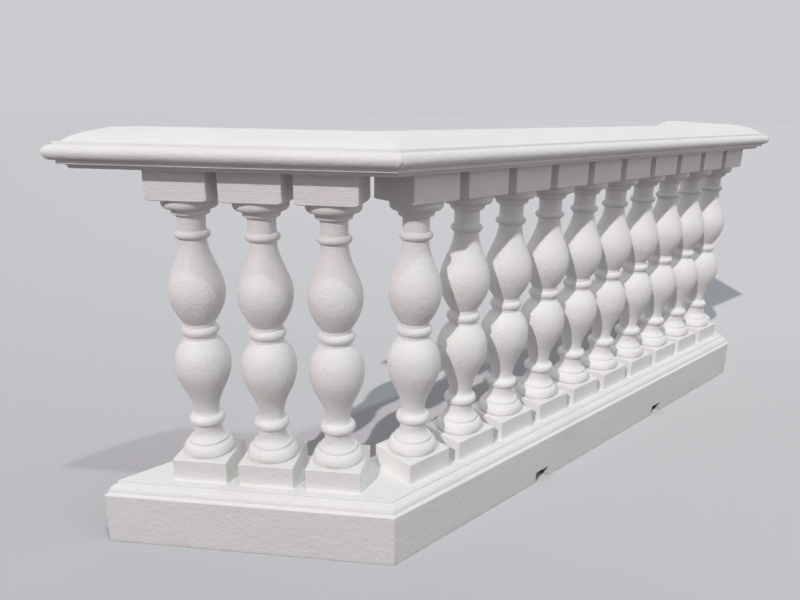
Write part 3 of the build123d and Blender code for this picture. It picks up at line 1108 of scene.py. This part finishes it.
        # Level faces stay flatter, and the two ends true
        wander[np.abs(normals[..., 2]) > 0.95] *= 0.2
        wander[0] = wander[-1] = 0.0
        rings = rings - normals * wander[..., None]
        rings[0, :, 2], rings[-1, :, 2] = low.z, high.z
        c, s = math.cos(self.yaw), math.sin(self.yaw)
        reach = self.head_width / 2 * (abs(c) + abs(s))
        rings[..., :2] = rings[..., :2] @ np.array([[c, s], [-s, c]])
        rings[..., 0] += low.x + reach
        rings[..., 1] += low.y + reach
        faces = tube_faces(*rings.shape[:2])
        return new_piece(self.name, rings.reshape(-1, 3), faces, (finishes.turned_coat,))

    def trim(self, piece: bpy.types.Object, point: Vector, outside: Vector) -> None:
        """Cut the blocks off flat at a plane and close the cut.

        Args:
            piece: The baluster's piece.
            point: A point of the plane, in millimetres.
            outside: The side that goes.
        """
        plane = {"plane_co": point * MM, "plane_no": outside, "clear_outer": True, "dist": 1e-7}
        with opened(piece.data) as shell:
            everything = [*shell.verts, *shell.edges, *shell.faces]
            cut = bmesh.ops.bisect_plane(shell, geom=everything, **plane)
            rim = [item for item in cut["geom_cut"] if isinstance(item, bmesh.types.BMEdge)]
            bmesh.ops.holes_fill(shell, edges=rim)
            bmesh.ops.recalc_face_normals(shell, faces=shell.faces)

    def build(self, finishes: Finishes, plan: Plan) -> int:
        """Build the baluster, cut it where its run ends and put it on the frame.

        Args:
            finishes: The finishes of the balustrade.
            plan: The plan, whose wall and right mitre end the runs.

        Returns:
            The number of triangles.
        """
        piece = self.mesh(finishes)
        if max(vertex.co.y for vertex in piece.data.vertices) > plan.wall * MM:
            self.trim(piece, Vector((0, plan.wall, 0)), Vector((0, 1, 0)))
        if self.yaw == 0:
            self.trim(piece, plan.right.corner, Vector((1, plan.mitre, 0)).normalized())
        return settle(piece, self.name)


# The whole balustrade


@dataclass
class Balustrade:
    """The assembly: base rails, balusters and top rails on one plan.

    Attributes:
        plan: The plan read from the solids.
        finishes: The finishes that the pieces are dressed in.
        front_wear, leg_wear: How far the corners of the head blocks are worn back in each run.
    """

    plan: Plan
    finishes: Finishes
    front_wear: float = 1.5
    leg_wear: float = 5.0

    def base_rails(self) -> list[BaseRail]:
        """The three base rails, the left one with knocks on its arris at the wall."""
        plan = self.plan
        knocks = ((114.0, 6.0, -1.6), (96.0, 4.0, -0.9), (60.0, 9.0, -0.8))
        nicks = tuple(Lump(plan.wall_end.reach, 0.0, *knock) for knock in knocks)
        return [
            FrontBaseRail("base_rail_front", plan.front, plan.near_mitre, plan.far_mitre, 11),
            BaseRail("base_rail_left", plan.left, plan.near_mitre, plan.wall_end, 12, nicks),
            BaseRail("base_rail_right", plan.right, plan.near_mitre, plan.wall_end, 13),
        ]

    def top_rails(self) -> list[TopRail]:
        """The four stones of the top rail, with filler left proud on the bullnose of the front two."""
        plan, butt = self.plan, self.plan.butt_end.reach
        filler = Lump(butt - 4, -18.0, 1000.0, 7.0, 1.1), Lump(butt + 6, -17.0, 999.0, 6.0, 1.1)
        # A run of coat on the corner mitre, with a dent beside it
        blemish = (
            Lump(3.0, -22.5, 1007.0, 6.5, 1.9),
            Lump(-6.0, -22.0, 1002.5, 3.6, -2.2),
            Lump(-3.0, -17.5, 999.5, 4.0, 2.2),
        )
        left_lumps = (filler[0], *blemish)
        return [
            TopRail("top_rail_front_left", plan.front, plan.near_mitre, plan.butt_end, 21, left_lumps),
            TopRail("top_rail_front_right", plan.front, plan.butt_end, plan.far_mitre, 22, filler[1:]),
            TopRail("top_rail_left", plan.left, plan.near_mitre, plan.wall_end, 23),
            TopRail("top_rail_right", plan.right, plan.near_mitre, plan.wall_end, 24),
        ]

    def balusters(self) -> list[Baluster]:
        """All the balusters, run by run."""
        found = []
        runs = {"front": 0.0, "left": -self.plan.turn, "right": self.plan.turn}
        for run, yaw in runs.items():
            wear = self.leg_wear if yaw else self.front_wear
            for name in sorted(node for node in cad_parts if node.startswith(f"baluster_{run}_")):
                found.append(Baluster(name, yaw, 100 + len(found), wear))
        return found

    def build(self) -> int:
        """Build every piece, and give back the number of triangles in all."""
        triangles = sum(rail.build(self.finishes) for rail in self.base_rails())
        triangles += sum(baluster.build(self.finishes, self.plan) for baluster in self.balusters())
        return triangles + sum(rail.build(self.finishes) for rail in self.top_rails())


# Studio


@dataclass(frozen=True)
class StudioFloor(Finish):
    """A plain pale floor in matte paint, seamless with the background.

    Attributes:
        name: The material's name.
        seen: The colour that the camera sees.
        bounced_near, bounced_far: The darker colour that lights the object from below, as a
            workshop's trodden concrete does, and that colour further out.
        dark_reach, radius: How far out the darker colour and the floor reach, in metres.
        roughness: Matte paint.
    """

    name: str = "studio_floor_paint"
    seen: str = "#C4C5C7"
    bounced_near: str = "#2C2927"
    bounced_far: str = "#8A7F7B"
    dark_reach: Triple = (2.3, 1.3, 1.0)
    radius: float = 60.0
    roughness: float = 0.9

    def shader(self, add: AddNode, place: bpy.types.NodeSocket) -> bpy.types.Node:
        """Wire the paint: one colour to look at, and another to light the object from below."""
        spread = add(Kind.VECTOR, {0: place, 1: self.dark_reach}, operation="DIVIDE")
        away = add(Kind.VECTOR, {0: spread}, operation="LENGTH")
        out = add(Kind.RANGE, {"Value": away, "From Min": 0.8, "From Max": 1.5})
        near, far = to_linear(self.bounced_near), to_linear(self.bounced_far)
        bounced = add(Kind.MIX, {0: out, 6: near, 7: far}, data_type="RGBA")
        colour = add(Kind.MIX, {0: looked_at(add), 6: bounced, 7: to_linear(self.seen)}, data_type="RGBA")
        return add(Kind.MATTE, {"Color": colour, "Roughness": self.roughness})

    def build(self) -> None:
        """Lay the floor."""
        mesh = bpy.data.meshes.new("studio_floor")
        with opened(mesh) as disc:
            bmesh.ops.create_circle(disc, cap_ends=True, segments=96, radius=self.radius)
        mesh.materials.append(self.material())
        show("studio_floor", mesh)


@dataclass(frozen=True)
class Lamp:
    """A distant soft lamp.

    Attributes:
        name: The lamp's name.
        towards: The direction from the object to the lamp.
        level: How brightly it lights a white surface that faces it, where 1 is white.
        tint: Its red, green and blue.
        spread: The angle that it fills, in degrees, which softens its shadows.
    """

    name: str
    towards: Triple
    level: float
    tint: Triple
    spread: float

    def build(self) -> None:
        """Hang the lamp."""
        data = bpy.data.lights.new(self.name, "SUN")
        data.energy = self.level * math.pi
        data.color = self.tint
        data.angle = math.radians(self.spread)
        made = show(self.name, data)
        made.rotation_mode = "QUATERNION"
        made.rotation_quaternion = Vector(self.towards).to_track_quat("Z", "Y")


@dataclass(frozen=True)
class Studio:
    """Plain soft light: a lamp high on the left, a weaker one in front, and pale walls all round.

    Attributes:
        lamps: The lamp on the left, which draws the shadows, and the weaker one in front.
        near_walls: How bright the walls are on the right, behind and overhead.
        far_walls: How bright they are on the left, in front and underfoot, as negative numbers.
        wall_tint: The walls' red, green and blue.
        background: The colour that the camera sees behind the object.
    """

    lamps: tuple[Lamp, ...] = (
        Lamp("side_lamp", (-1.27, -0.465, 0.95), 0.555, (1.0, 0.915, 0.925), 0.9),
        Lamp("front_lamp", (-0.03, -0.47, 1.0), 0.16, (0.72, 1.0, 0.93), 1.6),
    )
    near_walls: Triple = (0.95, 0.95, 0.0)
    far_walls: Triple = (-0.12, -0.60, 0.0)
    wall_tint: Triple = (0.965, 0.955, 1.02)
    background: str = "#CACBCF"

    def light_world(self) -> None:
        """Set the light that comes from all round."""
        world = bpy.data.worlds.new("studio_air")
        bpy.context.scene.world = world
        add = open_tree(world)
        direction = add(Kind.PLACE).outputs["Generated"]
        # The light from a direction is the share of each wall that it faces
        shares = []
        for half, walls in (("MAXIMUM", self.near_walls), ("MINIMUM", self.far_walls)):
            faced = add(Kind.VECTOR, {0: direction, 1: (0, 0, 0)}, operation=half)
            shares.append(add(Kind.VECTOR, {0: faced, 1: walls}, operation="DOT_PRODUCT"))
        level = add(Kind.MATH, dict(enumerate(shares)), operation="ADD")
        light = add(Kind.VECTOR, {0: self.wall_tint, "Scale": level}, operation="SCALE")
        seen = to_linear(self.background)
        colour = add(Kind.MIX, {0: looked_at(add), 6: light, 7: seen}, data_type="RGBA")
        add(Kind.WORLD, {"Surface": add(Kind.AIR, {"Color": colour, "Strength": 1.0})})

    def build(self) -> None:
        """Set up the floor, the lamps and the air."""
        StudioFloor().build()
        for lamp in self.lamps:
            lamp.build()
        self.light_world()


@dataclass(frozen=True)
class Viewpoint:
    """The photograph's camera, in metres, radians and pixels of its 800 by 600 frame.

    Attributes:
        place: Where the camera stands.
        yaw, pitch, roll: How far it is turned to the right of the front run's square view,
            looks down and is tilted.
        focal: Its focal length in pixels.
        off_centre: How far the lens's axis lies from the middle of the frame, in pixels.
        frame_width, sensor: The width of the frame in pixels and of the sensor in millimetres.
        reach: The nearest and the farthest that it sees.
    """

    place: Vector = Vector((-1.8459, -1.3142, 1.1293))
    yaw: float = 0.734578
    pitch: float = 0.2874612
    roll: float = -0.0169866
    focal: float = 641.557
    off_centre: Point = (15.23, -6.82)
    frame_width: float = 800.0
    sensor: float = 36.0
    reach: Point = (0.05, 200.0)

    def build(self) -> None:
        """Set up the camera."""
        data = bpy.data.cameras.new("photograph_camera")
        data.sensor_width = self.sensor
        data.lens = self.focal * self.sensor / self.frame_width
        data.shift_x = -self.off_centre[0] / self.frame_width
        data.shift_y = self.off_centre[1] / self.frame_width
        data.clip_start, data.clip_end = self.reach
        sine, cosine = math.sin(self.yaw), math.cos(self.yaw)
        flat = math.cos(self.pitch)
        ahead = Vector((sine * flat, cosine * flat, -math.sin(self.pitch)))
        level = Vector((cosine, -sine, 0))
        down = ahead.cross(level)
        right = level * math.cos(self.roll) + down * math.sin(self.roll)
        below = down * math.cos(self.roll) - level * math.sin(self.roll)
        made = show("photograph_camera", data)
        made.matrix_world = Matrix((right, -below, -ahead)).transposed().to_4x4()
        made.location = self.place
        bpy.context.scene.camera = made


def main() -> None:
    """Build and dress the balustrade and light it."""
    logging.basicConfig(level=logging.INFO, format="%(message)s")
    bpy.context.scene.view_settings.view_transform = "Standard"
    Viewpoint().build()
    Studio().build()
    triangles = Balustrade(Plan(), Finishes()).build()
    log.info("%d triangles in all", triangles)


if __name__ == "__main__":
    main()
